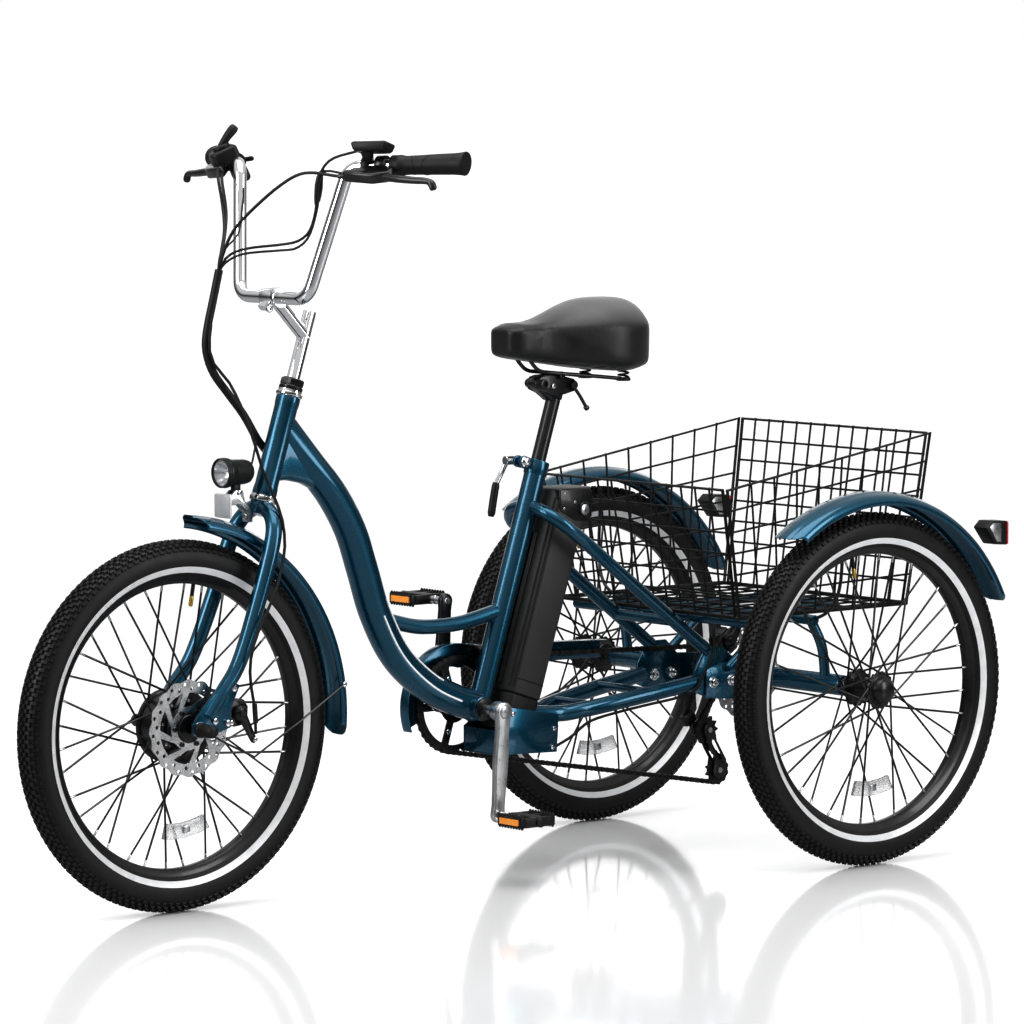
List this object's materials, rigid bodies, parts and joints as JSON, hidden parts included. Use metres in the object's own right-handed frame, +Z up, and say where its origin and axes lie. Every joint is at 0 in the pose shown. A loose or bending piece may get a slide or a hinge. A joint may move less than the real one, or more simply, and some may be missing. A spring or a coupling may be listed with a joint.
{
  "type": "adult tricycle",
  "caption": "Step-through electric adult tricycle with swept handlebar, sprung saddle, front hub motor, rear battery, chain drive and a wire cargo basket between the rear wheels.",
  "frame": {"origin": "middle of the tricycle's footprint, on the ground", "axes": "+X forward, +Y to the rider's left, +Z up"},
  "size_m": [1.849, 0.82, 1.2733],
  "materials": {
    "teal_paint": "metallic gloss",
    "black_paint": "satin",
    "tyre": "matte",
    "grip_rubber": "matte",
    "chrome": "polished",
    "steel": "satin",
    "black_plastic": "fine grain",
    "vinyl": "grained black vinyl",
    "red_lens": "prismatic reflector"
  },
  "bodies": {
    "frame": {"main_frame": "teal_paint", "rear_subframe": "teal_paint", "controller_box": "teal_paint", "battery_rail": "black_plastic", "basket_floor": "black_paint", "basket_front": "black_paint", "basket_rear": "black_paint", "basket_left": "black_paint", "basket_right": "black_paint", "left_fender": "teal_paint", "right_fender": "teal_paint", "left_tail_reflector": "red_lens", "right_tail_reflector": "red_lens", "chain_guard": "teal_paint", "chain": "steel", "derailleur": "black_paint", "rear_caliper": "black_paint", "rear_cable": "black_plastic"},
    "steering": {"fork": "teal_paint", "stem": "chrome", "handlebar": "chrome", "left_grip": "grip_rubber", "right_grip": "grip_rubber", "left_brake_perch": "black_plastic", "right_brake_perch": "black_plastic", "display": "black_plastic", "front_fender": "teal_paint", "front_caliper": "black_paint", "front_axle": "black_paint", "lamp_bracket": "black_plastic", "cable_harness": "black_plastic", "front_brake_cable": "black_plastic"},
    "lamp": {"headlamp": "black_plastic"},
    "front_wheel": {"front_hub": "black_paint", "front_rim": "black_paint", "front_tyre": "tyre", "front_rotor": "steel"},
    "rear_axle_set": {"rear_axle": "steel", "left_hub": "black_paint", "left_rim": "black_paint", "left_tyre": "tyre", "rear_rotor": "steel"},
    "right_wheel": {"right_hub": "black_paint", "right_rim": "black_paint", "right_tyre": "tyre"},
    "crank": {"left_crank": "chrome", "right_crank": "black_paint"},
    "left_pedal_body": {"left_pedal": "black_plastic"},
    "right_pedal_body": {"right_pedal": "black_plastic"},
    "freewheel_body": {"freewheel": "black_paint"},
    "post": {"seat_post": "black_paint"},
    "saddle": {"saddle_cushion": "vinyl", "saddle_base": "black_paint"},
    "latch": {"saddle_latch": "black_paint"},
    "battery_pack": {"battery": "black_plastic"},
    "quick_release": {"seat_quick_release": "chrome"},
    "left_lever": {"left_brake_lever": "black_paint"},
    "right_lever": {"right_brake_lever": "black_paint"},
    "shifter": {"shift_lever": "black_plastic"},
    "throttle": {"throttle_lever": "black_plastic"}
  },
  "joints": [
    {"name": "steering_turn", "type": "hinge", "parent": "frame", "child": "steering", "pos_m": [0.4329, 0, 0.6725], "axis": [-0.309, 0, 0.9511], "range_deg": [-60, 60], "deforming": ["cable_harness"]},
    {"name": "headlamp_tilt", "type": "hinge", "parent": "steering", "child": "lamp", "pos_m": [0.4915, 0, 0.68], "axis": [0, 1, 0], "range_deg": [-8, 8]},
    {"name": "front_wheel_spin", "type": "hinge", "parent": "steering", "child": "front_wheel", "pos_m": [0.6195, 0, 0.305], "axis": [0, 1, 0], "continuous": true},
    {"name": "rear_axle_spin", "type": "hinge", "parent": "frame", "child": "rear_axle_set", "pos_m": [-0.6005, 0, 0.305], "axis": [0, 1, 0], "continuous": true},
    {"name": "right_wheel_spin", "type": "hinge", "parent": "frame", "child": "right_wheel", "pos_m": [-0.6005, -0.36, 0.305], "axis": [0, 1, 0], "continuous": true},
    {"name": "crank_spin", "type": "hinge", "parent": "frame", "child": "crank", "pos_m": [-0.0105, 0, 0.286], "axis": [0, 1, 0], "continuous": true},
    {"name": "left_pedal_spin", "type": "hinge", "parent": "crank", "child": "left_pedal_body", "pos_m": [0.00171, 0.159, 0.11143], "axis": [0, 1, 0], "continuous": true},
    {"name": "right_pedal_spin", "type": "hinge", "parent": "crank", "child": "right_pedal_body", "pos_m": [-0.02271, -0.159, 0.46057], "axis": [0, 1, 0], "continuous": true},
    {"name": "freewheel_spin", "type": "hinge", "parent": "frame", "child": "freewheel_body", "pos_m": [-0.6005, -0.045, 0.305], "axis": [0, 1, 0], "continuous": true},
    {"name": "seat_post_slide", "type": "slide", "parent": "frame", "child": "post", "axis": [-0.309, 0, 0.9511], "range_m": [-0.05, 0.06]},
    {"name": "saddle_tilt", "type": "hinge", "parent": "post", "child": "saddle", "pos_m": [-0.1565, 0, 0.832], "axis": [0, 1, 0], "range_deg": [0, 60]},
    {"name": "saddle_latch_swing", "type": "hinge", "parent": "saddle", "child": "latch", "pos_m": [-0.2245, 0.0194, 0.8275], "axis": [0, 1, 0], "range_deg": [0, 30], "stiffness_Nm_per_rad": 0.15, "springref_deg": -17.19},
    {"name": "battery_slide", "type": "slide", "parent": "frame", "child": "battery_pack", "axis": [-0.309, 0, 0.9511], "range_m": [0, 0.06]},
    {"name": "seat_release_swing", "type": "hinge", "parent": "frame", "child": "quick_release", "pos_m": [-0.1225, -0.033, 0.7], "axis": [-1, 0, 0], "range_deg": [0, 120]},
    {"name": "left_brake_pull", "type": "hinge", "parent": "steering", "child": "left_lever", "pos_m": [0.36721, 0.20945, 1.20206], "axis": [0.3799, 0.1853, 0.9063], "range_deg": [0, 16], "stiffness_Nm_per_rad": 0.6, "springref_deg": -14.32},
    {"name": "right_brake_pull", "type": "hinge", "parent": "steering", "child": "right_lever", "pos_m": [0.36721, -0.20945, 1.20206], "axis": [-0.3799, 0.1853, -0.9063], "range_deg": [0, 16], "stiffness_Nm_per_rad": 0.6, "springref_deg": -14.32},
    {"name": "shift_turn", "type": "hinge", "parent": "steering", "child": "shifter", "pos_m": [0.36828, -0.19773, 1.24009], "axis": [0.3799, -0.1853, 0.9063], "range_deg": [-20, 30]},
    {"name": "throttle_push", "type": "hinge", "parent": "steering", "child": "throttle", "pos_m": [0.33646, -0.21047, 1.21517], "axis": [-0.4382, -0.8984, 0.03], "range_deg": [0, 40], "stiffness_Nm_per_rad": 0.08, "springref_deg": -22.92}
  ],
  "couplings": [
    {"joint": "freewheel_spin", "follows": "crank_spin", "ratio": 2}
  ]
}
